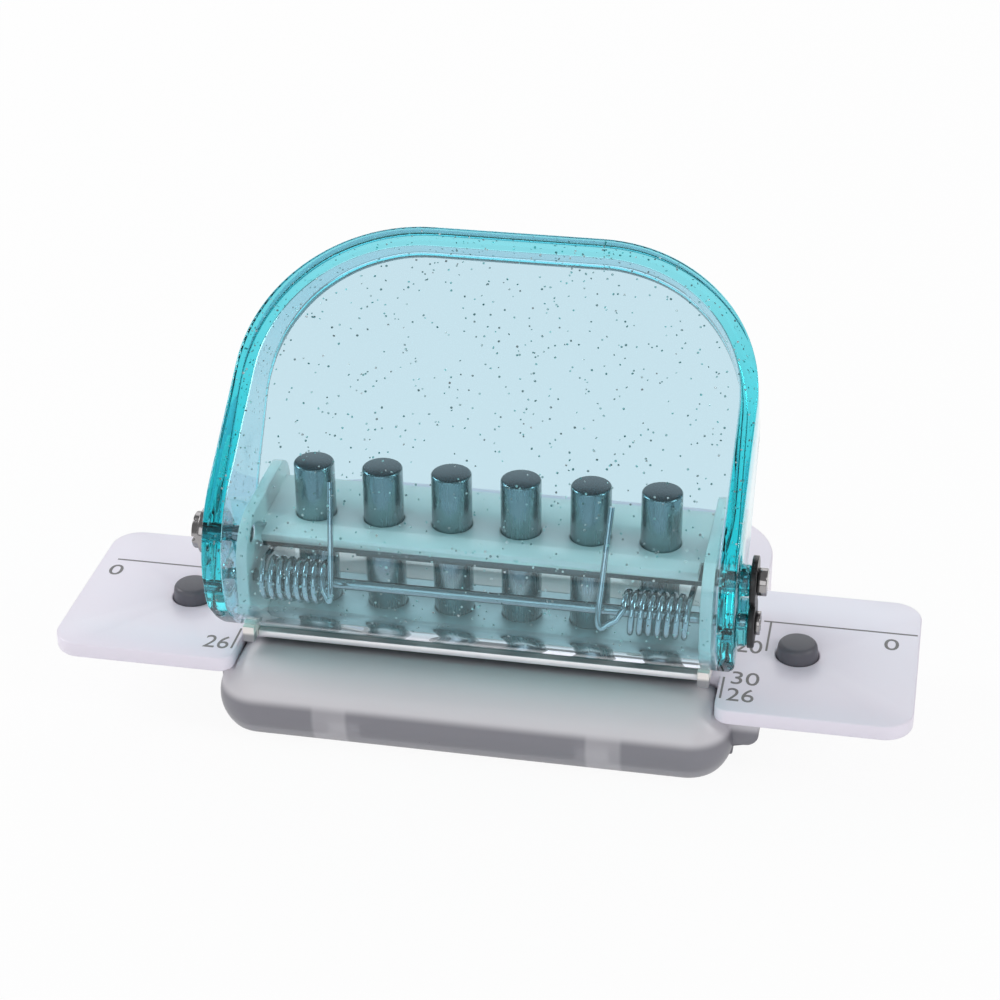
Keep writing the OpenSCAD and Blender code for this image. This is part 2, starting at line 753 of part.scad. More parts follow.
coil_points = [for (i = [0 : coil_turns * rings_per_turn]) on_coil(coil_sweep_deg * i / (coil_turns * rings_per_turn))];

// Ends of the coil and the directions in which the wire leaves it
coil_start = coil_points[0];
coil_end = coil_points[len(coil_points) - 1];
back_way = [0, sin(coil_first_deg), -cos(coil_first_deg)];
front_way = [0, -sin(coil_last_deg), cos(coil_last_deg)];
back_leg_l = coil_r * 1.9;
leg_x = coil_end[0] - leg_step;
knee_y = bend[0] - leg_clear * 0.895;
knee = [leg_x, knee_y, coil_end[2] + front_way[2] / front_way[1] * (knee_y - coil_end[1])];
leg_lean_deg = 69;
leg_spread = 0.06;
leg_way = [leg_spread, cos(leg_lean_deg), sin(leg_lean_deg)] / norm([leg_spread, 1]);
knee_start = [for (s = [0.25]) coil_end + (knee - coil_end) * (1 - s)][0];
lever_spring_points = [
    coil_start + back_leg_l * back_way,
    coil_start + (back_leg_l - wire_d) * back_way,
    coil_start + wire_d * back_way,
    each coil_points,
    coil_end + (knee - coil_end) / 4 + (coil_r - wire_d) / 4 * front_way,
    knee_start,
    each [for (i = [1 : 4]) let (t = i / 5, u = 1 - t)
        u * u * knee_start + 2 * u * t * knee + t * t * (knee + wire_d * 2 * leg_way)],
    knee + wire_d * 2 * leg_way,
    knee + leg_l / 2 * leg_way,
    knee + (leg_l - wire_d) * leg_way,
    knee + leg_l * leg_way];

echo(lever_spring_gap = least_gap(coil_points, wire_d, rings_per_turn / 2));

module lever_spring() {
    tube(lever_spring_points, wire_d / 2, [1, 0, 0]);
}

module torsion_spring_right() {
    color("silver") lever_spring();
}

module torsion_spring_left() {
    color("silver") mirror([1, 0, 0]) lever_spring();
}

module carrier_plate() {
    color([0.16, 0.17, 0.18]) difference() {
        union() {
            translate([-head_half + slide_gap, -carrier_front, carrier_z])
                cube([2 * (head_half - slide_gap), carrier_front + carrier_back, carrier_t]);
            translate([-cheek_out, tooth_y, carrier_z]) cube([2 * cheek_out, tooth_l, carrier_t]);
        }
        at_pins() translate([0, 0, carrier_z - over]) cylinder(h = carrier_t + 2 * over, r = bore_r);
        // Clear of the two coils
        for (side = [-1, 1])
            translate([side > 0 ? coil_end[0] - leg_step - wire_d : -head_half - over, -carrier_front - over, carrier_z - over])
                cube([head_half + over - coil_end[0] + leg_step + wire_d,
                    carrier_front + over + hinge[0] + coil_r + wire_d, carrier_t + 2 * over]);
    }
}

// Clips that hang the pins on the carrier plate, each open at the back
module pin_clips() {
    color("silver") at_pins() translate([0, 0, clip_z]) difference() {
        cylinder(h = clip_t, r = clip_r);
        translate([0, 0, -over]) cylinder(h = clip_t + 2 * over, r = groove_r);
        translate([-groove_r * 0.8, 0, -over]) cube([groove_r * 1.6, 2 * clip_r, clip_t + 2 * over]);
    }
}

module punch_pin(number) {
    edge = pin_r / 12;
    color([0.36, 0.42, 0.45]) translate([pin_x(number), 0, 0]) difference() {
        union() {
            translate([0, 0, pin_low]) cylinder(h = pin_top - edge - pin_low, r = pin_r);
            translate([0, 0, pin_top - edge]) cylinder(h = edge, r1 = pin_r, r2 = pin_r - edge);
        }
        translate([0, 0, clip_z]) difference() {
            cylinder(h = clip_t, r = pin_r + over);
            translate([0, 0, -over]) cylinder(h = clip_t + 2 * over, r = groove_r - run_gap / 4);
        }
    }
}

module peg(side) {
    edge = peg_h / 5;
    color([0.5, 0.5, 0.54]) translate([side * peg_x, 0, 0]) {
        translate([0, 0, peg_flange_z]) cylinder(h = peg_flange_t, r = peg_flange_r);
        translate([0, 0, peg_flange_z]) cylinder(h = deck_height - peg_flange_z, r = peg_d / 2);
        translate([0, 0, deck_height]) cylinder(h = peg_h - edge, r1 = peg_d / 2, r2 = peg_top_d / 2);
        translate([0, 0, deck_height + peg_h - edge])
            cylinder(h = edge, r1 = peg_top_d / 2, r2 = peg_top_d / 2 - edge);
    }
}

peg_spring_steps = peg_turns * rings_per_turn;
peg_spring_points = [for (i = [0 : peg_spring_steps]) let (a = 360 * i / rings_per_turn)
    [peg_spring_r * cos(a), peg_spring_r * sin(a),
        peg_spring_low + (peg_spring_high - peg_spring_low) * i / peg_spring_steps]];

echo(peg_spring_gap = least_gap(peg_spring_points, peg_wire_d, rings_per_turn / 2));

module peg_spring(side) {
    color("silver") translate([side * peg_x, 0, 0]) tube(peg_spring_points, peg_wire_d / 2, [0, 0, 1]);
}

module peg_cap(side) {
    color("gainsboro") translate([side * peg_x, 0, cup_low]) cylinder(h = cap_t, r = cup_r - seat_gap / 2);
}

base_deck();
base_floor();
base_screws();
die_plate();
stripper_plate();
punch_housing();
housing_screws();
hinge_rod();
rod_clip_left();
rod_clip_right();
chip_drawer();
lever();
stop_stud_left();
stop_stud_right();
link_plate();
torsion_spring_left();
torsion_spring_right();
carrier_plate();
pin_clips();
punch_pin(1);  // punch_pin_1
punch_pin(2);  // punch_pin_2
punch_pin(3);  // punch_pin_3
punch_pin(4);  // punch_pin_4
punch_pin(5);  // punch_pin_5
punch_pin(6);  // punch_pin_6
peg(-1);  // peg_left
peg(1);  // peg_right
peg_spring(-1);  // peg_spring_left
peg_spring(1);  // peg_spring_right
peg_cap(-1);  // peg_cap_left
peg_cap(1);  // peg_cap_right
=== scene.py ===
import bmesh
import bpy
import json
import math
import random
from mathutils import Matrix, Vector
from mathutils.bvhtree import BVHTree
from mathutils.geometry import intersect_point_line


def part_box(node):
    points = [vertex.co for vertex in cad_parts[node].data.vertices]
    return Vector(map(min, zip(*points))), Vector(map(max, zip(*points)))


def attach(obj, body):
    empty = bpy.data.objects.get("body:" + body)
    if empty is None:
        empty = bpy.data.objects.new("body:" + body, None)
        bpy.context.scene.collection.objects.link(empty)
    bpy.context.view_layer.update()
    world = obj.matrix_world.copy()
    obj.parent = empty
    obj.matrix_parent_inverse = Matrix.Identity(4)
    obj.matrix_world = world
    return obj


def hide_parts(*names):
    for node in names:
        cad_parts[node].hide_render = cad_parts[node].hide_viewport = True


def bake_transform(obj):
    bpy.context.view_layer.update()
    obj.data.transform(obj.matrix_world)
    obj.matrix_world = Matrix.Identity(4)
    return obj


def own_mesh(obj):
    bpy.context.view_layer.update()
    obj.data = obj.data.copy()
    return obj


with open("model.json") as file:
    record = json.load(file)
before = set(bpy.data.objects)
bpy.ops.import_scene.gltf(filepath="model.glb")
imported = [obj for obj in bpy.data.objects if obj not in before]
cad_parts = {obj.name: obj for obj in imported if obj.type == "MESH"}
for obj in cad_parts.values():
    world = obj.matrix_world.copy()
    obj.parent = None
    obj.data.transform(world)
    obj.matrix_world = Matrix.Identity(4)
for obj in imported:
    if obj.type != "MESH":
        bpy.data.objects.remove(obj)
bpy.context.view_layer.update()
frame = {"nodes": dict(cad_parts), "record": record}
nodes = frame["nodes"]
bodies = frame["record"]["behaviour"]["bodies"]
MM = 0.001
SIDES = ((-1, "left"), (1, "right"))


# Modelling helpers

def select_only(*pieces):
    bpy.ops.object.select_all(action="DESELECT")
    for piece in pieces:
        piece.select_set(True)
    bpy.context.view_layer.objects.active = pieces[0]


def place_in_mesh(piece):
    """Puts a piece's place into its mesh, so that its object sits at the origin."""
    select_only(piece)
    bpy.ops.object.transform_apply(location=True, rotation=True, scale=True)


def apply_modifier(piece, kind, **settings):
    select_only(piece)
    modifier = piece.modifiers.new(kind.lower(), kind)
    for key, value in settings.items():
        setattr(modifier, key, value)
    bpy.ops.object.modifier_apply(modifier=modifier.name)


def merge_close_points(distance):
    """Joins the points of the mesh in edit mode that lie on each other."""
    bpy.ops.mesh.select_all(action="SELECT")
    bpy.ops.mesh.remove_doubles(threshold=distance)


def mend_walls(piece):
    """Joins the loose parts of a piece's skin and turns all its faces outwards."""
    select_only(piece)
    bpy.ops.object.mode_set(mode="EDIT")
    merge_close_points(0.001 * MM)
    bpy.ops.mesh.normals_make_consistent(inside=False)
    bpy.ops.object.mode_set(mode="OBJECT")


def body_of_node(node):
    return next(body for body, members in bodies.items() if node in members)


def finish_piece(piece, name, body, slot, material, smooth_deg=35):
    """Names a piece, gives it its material and lets it ride on its body, if one is given."""
    piece.name = name
    piece.data.materials.clear()
    piece.data.materials.append(material)
    select_only(piece)
    bpy.ops.object.shade_smooth_by_angle(angle=math.radians(smooth_deg))
    if body:
        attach(piece, body)


# Rounded edges

# An edge is rounded when its faces meet at more than this turn
SHARP = math.radians(32)
# Two faces whose turn is larger than this lie back on each other
FOLDED = 2.5
# The lengths under which edges stay sharp near a fold, longer from one try to the next
GIVE_WAY = (0.6 * MM, 2.0 * MM, 6.0 * MM, 20.0 * MM, 200.0 * MM, 200.0 * MM)


def merged_copy(node):
    """A copy of a CAD node with its loose triangles joined into whole faces."""
    piece = bpy.data.objects.new(node + "_rounded", nodes[node].data.copy())
    bpy.context.scene.collection.objects.link(piece)
    select_only(piece)
    bpy.ops.object.mode_set(mode="EDIT")
    merge_close_points(0.002 * MM)
    bpy.ops.mesh.dissolve_limited(angle_limit=math.radians(0.6))
    bpy.ops.object.mode_set(mode="OBJECT")
    return piece


def has_room(edge, tight, reach):
    """Whether an edge is clear of all the tight places at which an edge of its length gives way."""
    a, b = (vert.co for vert in edge.verts)
    for place, longest in tight:
        if edge.calc_length() < longest:
            share = intersect_point_line(place, a, b)[1]
            near = a.lerp(b, min(max(share, 0.0), 1.0))
            if (near - place).length < reach:
                return False
    return True


def weigh_edges(piece, tight, reach):
    """Marks the edges to round: all the sharp ones that have room for it."""
    mesh = bmesh.new()
    mesh.from_mesh(piece.data)
    weight = mesh.edges.layers.float.new("bevel_weight_edge")
    for edge in mesh.edges:
        if edge.calc_face_angle(0.0) >= SHARP:
            edge[weight] = float(has_room(edge, tight, reach))
    mesh.to_mesh(piece.data)
    mesh.free()


def fold_places(piece):
    """The middles of the edges at which two faces lie back on each other."""
    mesh = bmesh.new()
    mesh.from_mesh(piece.data)
    places = [(edge.verts[0].co + edge.verts[1].co) / 2 for edge in mesh.edges
              if edge.calc_face_angle(0.0) > FOLDED]
    mesh.free()
    return places


def rounded_copy(node, material, slot, width):
    """Shows a copy of a CAD node in its place, with its edges rounded where there is room for it."""
    tight = []
    for longest in (*GIVE_WAY, None):
        piece = merged_copy(node)
        weigh_edges(piece, tight, 2 * width + 0.1 * MM)
        apply_modifier(piece, "BEVEL", width=width, segments=2, limit_method="WEIGHT",
                       use_clamp_overlap=False, loop_slide=False)
        apply_modifier(piece, "TRIANGULATE")
        folds = fold_places(piece)
        if not folds or longest is None:
            break
        tight += [(place, longest) for place in folds]
        bpy.data.objects.remove(piece)
    finish_piece(piece, node + "_rounded", body_of_node(node), slot, material)
    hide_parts(node)


def wire(name, points, radius, rounding):
    """A round wire along a list of points, closed at both ends."""
    line = bpy.data.curves.new(name, "CURVE")
    line.dimensions = "3D"
    line.bevel_depth = radius
    line.bevel_resolution = rounding
    line.use_fill_caps = True
    spline = line.splines.new("POLY")
    spline.points.add(len(points) - 1)
    for point, place in zip(spline.points, points):
        point.co = (*place, 1)
    piece = bpy.data.objects.new(name, line)
    bpy.context.scene.collection.objects.link(piece)
    select_only(piece)
    bpy.ops.object.convert(target="MESH")
    piece = bpy.context.view_layer.objects.active
    mend_walls(piece)
    return piece


# Material helpers

def new_group(name, inputs, outputs):
    tree = bpy.data.node_groups.new(name, "ShaderNodeTree")
    for label, kind, value in inputs:
        socket = tree.interface.new_socket(label, in_out="INPUT", socket_type="NodeSocket" + kind)
        socket.default_value = value
    for label, kind in outputs:
        tree.interface.new_socket(label, in_out="OUTPUT", socket_type="NodeSocket" + kind)
    return tree, tree.nodes.new("NodeGroupInput"), tree.nodes.new("NodeGroupOutput")


def add(tree, kind, **settings):
    made = tree.nodes.new("ShaderNode" + kind)
    for key, value in settings.items():
        setattr(made, key, value)
    return made


def feed(tree, socket, value):
    """Sets a socket to a number or a colour, or links it to another socket."""
    if isinstance(value, (int, float)):
        socket.default_value = value
    elif isinstance(value, tuple):
        socket.default_value = (*value, 1.0)
    else:
        tree.links.new(value, socket)


def noise(tree, vector, scale, detail, roughness=0.5):
    made = add(tree, "TexNoise")
    feed(tree, made.inputs["Vector"], vector)
    feed(tree, made.inputs["Scale"], scale)
    feed(tree, made.inputs["Detail"], detail)
    feed(tree, made.inputs["Roughness"], roughness)
    return made.outputs["Fac"]


def maths(tree, operation, *values, clamp=False):
    made = add(tree, "Math", operation=operation, use_clamp=clamp)
    for socket, value in zip(made.inputs, values):
        feed(tree, socket, value)
    return made.outputs[0]


def swing(tree, pattern, amount):
    """How far a noise is from its middle, times an amount."""
    return maths(tree, "MULTIPLY", maths(tree, "SUBTRACT", pattern, 0.5), amount)


def blend_colour(tree, factor, a, b, mode="MIX"):
    made = add(tree, "Mix", data_type="RGBA", blend_type=mode)
    for socket, value in zip((made.inputs[0], made.inputs[6], made.inputs[7]), (factor, a, b)):
        feed(tree, socket, value)
    return made.outputs[2]


def shaded_colour(tree, colour, shade):
    """A colour times a shade."""
    tint = add(tree, "CombineColor")
    for socket in tint.inputs[:3]:
        tree.links.new(shade, socket)
    return blend_colour(tree, 1.0, colour, tint.outputs[0], "MULTIPLY")


def bump(tree, height, strength, distance):
    made = add(tree, "Bump")
    feed(tree, made.inputs["Height"], height)
    feed(tree, made.inputs["Strength"], strength)
    feed(tree, made.inputs["Distance"], distance)
    return made.outputs["Normal"]


def object_place(tree):
    return add(tree, "TexCoord").outputs["Object"]


def build_moulded_skin():
    """Moulded plastic: fine grain, slow changes of shade and gloss."""
    tree, given, result = new_group(
        "moulded_skin",
        [("Colour", "Color", (0.8, 0.8, 0.8, 1)), ("Gloss Loss", "Float", 0.3), ("Mottle", "Float", 0.025),
         ("Grain Scale", "Float", 2600.0), ("Grain Depth", "Float", 0.00002)],
        [("Colour", "Color"), ("Roughness", "Float"), ("Normal", "Vector")])
    place = object_place(tree)
    grain = noise(tree, place, given.outputs["Grain Scale"], detail=2.0)
    flow = noise(tree, place, scale=70.0, detail=3.0)
    shade = maths(tree, "MULTIPLY_ADD", maths(tree, "SUBTRACT", flow, 0.5), given.outputs["Mottle"], 1.0)
    tree.links.new(shaded_colour(tree, given.outputs["Colour"], shade), result.inputs["Colour"])
    dull = maths(tree, "ADD", given.outputs["Gloss Loss"], swing(tree, flow, 0.22))
    dull = maths(tree, "ADD", dull, swing(tree, grain, 0.10), clamp=True)
    tree.links.new(dull, result.inputs["Roughness"])
    tree.links.new(bump(tree, grain, 0.5, given.outputs["Grain Depth"]), result.inputs["Normal"])
    return tree


def build_drawn_metal():
    """Metal with fine lines from drawing or grinding, along the axis with the small stretch."""
    tree, given, result = new_group(
        "drawn_metal",
        [("Colour", "Color", (0.6, 0.6, 0.6, 1)), ("Gloss Loss", "Float", 0.25),
         ("Stretch", "Vector", (60.0, 4000.0, 4000.0)), ("Line Depth", "Float", 0.00001),
         ("Line Shade", "Float", 0.3), ("Patch Shade", "Float", 0.35)],
        [("Colour", "Color"), ("Roughness", "Float"), ("Normal", "Vector")])
    place = object_place(tree)
    stretched = add(tree, "VectorMath", operation="MULTIPLY")
    tree.links.new(place, stretched.inputs[0])
    tree.links.new(given.outputs["Stretch"], stretched.inputs[1])
    lines = noise(tree, stretched.outputs[0], scale=1.0, detail=2.0)
    patches = noise(tree, place, scale=180.0, detail=4.0)
    line_part = swing(tree, lines, given.outputs["Line Shade"])
    patch_part = swing(tree, patches, given.outputs["Patch Shade"])
    shade = maths(tree, "ADD", maths(tree, "ADD", line_part, patch_part), 1.0)
    tree.links.new(shaded_colour(tree, given.outputs["Colour"], shade), result.inputs["Colour"])
    dull = maths(tree, "ADD", given.outputs["Gloss Loss"], line_part)
    dull = maths(tree, "ADD", dull, patch_part, clamp=True)
    tree.links.new(dull, result.inputs["Roughness"])
    tree.links.new(bump(tree, lines, 0.4, given.outputs["Line Depth"]), result.inputs["Normal"])
    return tree


def build_clear_skin():
    """Polished clear plastic: faint handling marks and a slow moulding wave."""
    tree, given, result = new_group(
        "clear_skin",
        [("Gloss Loss", "Float", 0.02), ("Wave Depth", "Float", 0.00004), ("Mark Level", "Float", 0.52),
         ("Mark Dullness", "Float", 0.35)],
        [("Roughness", "Float"), ("Normal", "Vector")])
    place = object_place(tree)
    wave = noise(tree, place, scale=45.0, detail=1.0)
    smear = noise(tree, place, scale=130.0, detail=4.0, roughness=0.6)
    marks = maths(tree, "SUBTRACT", smear, given.outputs["Mark Level"], clamp=True)
    marks = maths(tree, "MULTIPLY", marks, given.outputs["Mark Dullness"])
    dull = maths(tree, "ADD", given.outputs["Gloss Loss"], marks, clamp=True)
    tree.links.new(dull, result.inputs["Roughness"])
    tree.links.new(bump(tree, wave, 0.6, given.outputs["Wave Depth"]), result.inputs["Normal"])
    return tree


MOULDED = build_moulded_skin()
DRAWN = build_drawn_metal()
CLEAR = build_clear_skin()


def new_material(name, group, values, **shader_values):
    """A material whose surface comes from a group, with the rest set on the shader itself."""
    material = bpy.data.materials.new(name)
    material.use_nodes = True
    tree = material.node_tree
    shader = tree.nodes["Principled BSDF"]
    skin = add(tree, "Group", node_tree=group)
    for label, value in values.items():
        skin.inputs[label].default_value = value
    for label, socket in (("Colour", "Base Color"), ("Roughness", "Roughness"), ("Normal", "Normal")):
        if label in skin.outputs:
            tree.links.new(skin.outputs[label], shader.inputs[socket])
    for label, value in shader_values.items():
        shader.inputs[label.replace("_", " ")].default_value = value
    return material


def place_mask(tree, axis, from_mm, to_mm):
    """Goes from 0 to 1 as a place on the object goes from one value to another along an axis."""
    place = add(tree, "SeparateXYZ")
    tree.links.new(object_place(tree), place.inputs[0])
    rise = add(tree, "MapRange", interpolation_type="SMOOTHSTEP")
    tree.links.new(place.outputs[axis], rise.inputs["Value"])
    rise.inputs["From Min"].default_value = from_mm * MM
    rise.inputs["From Max"].default_value = to_mm * MM
    return rise.outputs["Result"]


def colour_by(material, factor, plain, changed):
    """Feeds a material's skin with one colour where the factor is 0 and another where it is 1."""
    tree = material.node_tree
    skin = next(node for node in tree.nodes if node.type == "GROUP")
    tree.links.new(blend_colour(tree, factor, plain, changed), skin.inputs["Colour"])


# Plastics

white_plastic = new_material(
    "white_plastic", MOULDED, {"Colour": (0.83, 0.785, 0.885, 1), "Gloss Loss": 0.34}, Coat_Weight=0.1)
cover_plastic = new_material(
    "cover_plastic", MOULDED, {"Colour": (0.66, 0.67, 0.70, 1), "Gloss Loss": 0.5, "Grain Depth": 0.00005})
peg_plastic = new_material(
    "peg_plastic", MOULDED, {"Colour": (0.10, 0.10, 0.12, 1), "Gloss Loss": 0.42, "Mottle": 0.08})
ink = new_material("ink", MOULDED, {"Colour": (0.20, 0.19, 0.195, 1), "Gloss Loss": 0.5})


def build_housing_plastic():
    """White plastic with painted light and shade: its white is lighter and warmer than the deck's, to make
    up for the dim teal light under the lever, and its lower front corners are painted grey as shade, since
    they stand in the lever's shade.
    """
    material = new_material("housing_plastic", MOULDED, {"Gloss Loss": 0.36}, Coat_Weight=0.1)
    tree = material.node_tree
    # Painted shade: the lower front corners turn grey
    corners = maths(tree, "MULTIPLY", place_mask(tree, "Y", -9.9, -10.6), place_mask(tree, "Z", 13.4, 12.8))
    colour_by(material, corners, (0.95, 0.88, 0.85), (0.30, 0.30, 0.32))
    return material


def build_cloudy_plastic():
    """The drawer's plastic, with painted shade: darker low on its round front, as the shade of the hollow
    inside it, with lighter bars, and a painted shadow where it goes in under the deck.
    """
    material = new_material(
        "cloudy_plastic", MOULDED, {"Gloss Loss": 0.33}, Transmission_Weight=0.18, IOR=1.46)
    tree = material.node_tree
    bar_x, bar_inner, bar_outer, bar_strength = 18.8, 2.0, 2.7, 0.35
    # Painted shade of the hollow inside, low on the round front, lighter at two bars
    painted_window_shade = maths(tree, "SUBTRACT", 1.0, place_mask(tree, "Z", 5.2, 6.6))
    for side, _ in SIDES:
        middle = side * bar_x
        bar = maths(tree, "MULTIPLY", place_mask(tree, "X", middle - bar_outer, middle - bar_inner),
                    place_mask(tree, "X", middle + bar_outer, middle + bar_inner))
        beside = maths(tree, "SUBTRACT", 1.0, maths(tree, "MULTIPLY", bar, bar_strength))
        painted_window_shade = maths(tree, "MULTIPLY", painted_window_shade, beside)
    # Painted shadow at the top, where the drawer goes in under the deck
    painted_deck_shadow = maths(tree, "MULTIPLY", place_mask(tree, "Y", -9.6, -7.7), place_mask(tree, "Z", 8.0, 9.0))
    painted_deck_shadow = maths(tree, "MULTIPLY", painted_deck_shadow, 0.8)
    upper = blend_colour(tree, painted_deck_shadow, (0.75, 0.73, 0.77), (0.12, 0.14, 0.17))
    colour_by(material, painted_window_shade, upper, (0.275, 0.27, 0.305))
    return material


def build_teal_clear():
    """Clear teal plastic with its colour in its depth, which lets the lamps reach what it covers."""
    material = new_material(
        "teal_clear", CLEAR, {}, Base_Color=(0.985, 0.85, 0.935, 1), Transmission_Weight=1.0, IOR=1.49)
    tree = material.node_tree
    result = tree.nodes["Material Output"]
    through = add(tree, "BsdfTransparent")
    through.inputs["Color"].default_value = (1.0, 0.91, 0.865, 1)
    mix = add(tree, "MixShader")
    tree.links.new(add(tree, "LightPath").outputs["Is Shadow Ray"], mix.inputs[0])
    tree.links.new(tree.nodes["Principled BSDF"].outputs[0], mix.inputs[1])
    tree.links.new(through.outputs[0], mix.inputs[2])
    tree.links.new(mix.outputs[0], result.inputs["Surface"])
    depth = add(tree, "VolumeAbsorption")
    depth.inputs["Color"].default_value = (0.18, 0.925, 0.9375, 1)
    depth.inputs["Density"].default_value = 280.0
    tree.links.new(depth.outputs[0], result.inputs["Volume"])
    return material


housing_plastic = build_housing_plastic()
cloudy_plastic = build_cloudy_plastic()
teal_clear = build_teal_clear()


# Metals

carrier_steel = new_material(
    "carrier_steel", DRAWN, {"Colour": (0.15, 0.16, 0.165, 1), "Gloss Loss": 0.4}, Metallic=1.0)
bright_steel = new_material(
    "bright_steel", DRAWN, {"Colour": (0.56, 0.57, 0.58, 1), "Gloss Loss": 0.08, "Line Shade": 0.15,
                            "Patch Shade": 0.15, "Stretch": (900.0, 900.0, 900.0)}, Metallic=1.0)
rod_steel = new_material(
    "rod_steel", DRAWN, {"Colour": (0.44, 0.46, 0.46, 1), "Gloss Loss": 0.16,
                         "Stretch": (60.0, 4000.0, 4000.0)}, Metallic=1.0)
dark_nickel = new_material(
    "dark_nickel", DRAWN, {"Colour": (0.34, 0.33, 0.335, 1), "Gloss Loss": 0.14,
                           "Stretch": (1500.0, 1500.0, 1500.0)}, Metallic=1.0)
link_black = new_material(
    "link_black", DRAWN, {"Colour": (0.02, 0.02, 0.022, 1), "Gloss Loss": 0.35,
                          "Stretch": (2500.0, 2500.0, 2500.0)}, Metallic=0.3)


def build_guide_steel():
    """Steel with painted light: a lighter band behind its front edge and a painted highlight on the front
    edge itself; its grey carries a painted teal cast of the light through the lever.
    """
    material = new_material("guide_steel", DRAWN, {"Gloss Loss": 0.5, "Patch Shade": 0.15}, Metallic=1.0)
    tree = material.node_tree
    # Painted light: a lighter band behind the front edge, and a painted highlight on the edge
    painted_light_band = maths(tree, "MULTIPLY", place_mask(tree, "Y", -8.75, -8.95), 0.45)
    painted_edge_highlight = maths(tree, "MULTIPLY", place_mask(tree, "Y", -9.65, -9.8), 0.55)
    colour_by(material, maths(tree, "ADD", painted_light_band, painted_edge_highlight), (0.42, 0.53, 0.55), (0.95, 0.94, 0.97))
    return material


def build_pin_steel():
    """Steel that is lighter low down and painted dark at the pins' tops, as a painted dark reflection; its
    greys carry a painted teal cast of the light through the lever.
    """
    material = new_material(
        "pin_steel", DRAWN, {"Gloss Loss": 0.26, "Stretch": (5000.0, 5000.0, 120.0), "Line Shade": 0.1,
                             "Patch Shade": 0.12, "Line Depth": 0.000002}, Metallic=1.0)
    tree = material.node_tree
    lower_part = place_mask(tree, "Z", 17.6, 16.9)
    shank = blend_colour(tree, lower_part, (0.345, 0.40, 0.41), (0.60, 0.66, 0.67))
    # Painted dark reflection on the tops
    colour_by(material, place_mask(tree, "Z", 34.15, 34.3), shank, (0.09, 0.10, 0.11))
    return material


def build_flake_foil():
    """Foil with painted light: a noise paints some flakes light, as if lit, and the others dark, as if in
    shade.
    """
    material = new_material(
        "flake_foil", DRAWN, {"Gloss Loss": 0.3, "Stretch": (3000.0, 3000.0, 3000.0)}, Metallic=0.1)
    tree = material.node_tree
    # Painted light and shade: a noise picks light or dark flakes
    painted_light_pick = noise(tree, object_place(tree), scale=900.0, detail=0.0)
    painted_lit_flakes = maths(tree, "GREATER_THAN", painted_light_pick, 0.5)
    colour_by(material, painted_lit_flakes, (0.32, 0.35, 0.36), (0.72, 0.74, 0.75))
    return material


guide_steel = build_guide_steel()
pin_steel = build_pin_steel()
flake_foil = build_flake_foil()


# Pieces that keep the CAD shape, each with its material, its slot and the width of its rounded edges

for node, material, slot, width in (
        ("base_deck", white_plastic, "deck_plastic", 0.25 * MM),
        ("punch_housing", housing_plastic, "deck_plastic", 0.18 * MM),
        ("base_floor", cover_plastic, "cover_plastic", 0.2 * MM),
        ("peg_cap_left", cover_plastic, "cover_plastic", 0.2 * MM),
        ("peg_cap_right", cover_plastic, "cover_plastic", 0.2 * MM),
        ("peg_left", peg_plastic, "peg_plastic", 0.2 * MM),
        ("peg_right", peg_plastic, "peg_plastic", 0.2 * MM),
        ("die_plate", carrier_steel, "carrier_steel", 0.1 * MM),
        ("stripper_plate", guide_steel, "plate_steel", 0.12 * MM),
        ("carrier_plate", carrier_steel, "carrier_steel", 0.1 * MM),
        ("pin_clips", bright_steel, "bright_steel", 0.06 * MM),
        ("hinge_rod", rod_steel, "bright_steel", 0.15 * MM),
        ("rod_clip_left", dark_nickel, "dark_nickel", 0.08 * MM),
        ("rod_clip_right", dark_nickel, "dark_nickel", 0.08 * MM),
        ("stop_stud_left", dark_nickel, "dark_nickel", 0.12 * MM),
        ("stop_stud_right", dark_nickel, "dark_nickel", 0.12 * MM),
        ("link_plate", link_black, "link_black", 0.1 * MM),
        ("base_screws", dark_nickel, "dark_nickel", 0.1 * MM),
        ("housing_screws", dark_nickel, "dark_nickel", 0.1 * MM),
        ("chip_drawer", cloudy_plastic, "drawer_plastic", 0.3 * MM),
        ("lever", teal_clear, "lever_acrylic", 0.3 * MM)):
    rounded_copy(node, material, slot, width)

for number in range(1, 7):
    rounded_copy("punch_pin_%d" % number, pin_steel, "pin_steel", 0.1 * MM)


# Lever springs

HINGE = Vector((0.0, -8.6, 21.0)) * MM
COIL_R = 2.65 * MM
WIRE_R = 0.425 * MM
TURNS = 7
POINTS_PER_TURN = 28
# Where a coil starts near the cheek, and how far it reaches inwards
COIL_OUT = 28.9 * MM
COIL_L = 8.6 * MM
# The places on the coil's circle at which the wire starts and ends, in degrees
FIRST_DEG = 80
LAST_DEG = 145
# The middle of the lever's bend, the room in it for the wire, and how far forward the knee uses it
BEND_Y = -3.0 * MM
BEND_CLEAR = (13.6 - 2.0 - 0.85) * MM
KNEE_SHARE = 0.895
KNEE_X = {-1: -18.7 * MM, 1: 17.0 * MM}
# The long leg's lean and how far it splays outwards, and the distances along both legs
LEG_LEAN = math.radians(69)
LEG_SPLAY = 0.06
LEG_STEPS = (2.8, 5.0, 7.5, 10.5, 13.5, 16.4)
BACK_LEG_STEPS = (5.0, 3.5, 2.0, 0.9)
BEND_PARTS = 13


def coil_point(share, side):
    sweep = LAST_DEG - FIRST_DEG + 360 * TURNS
    angle = math.radians(FIRST_DEG + sweep * share)
    return Vector((side * (COIL_OUT - COIL_L * share), HINGE.y + COIL_R * math.cos(angle),
                   HINGE.z + COIL_R * math.sin(angle)))


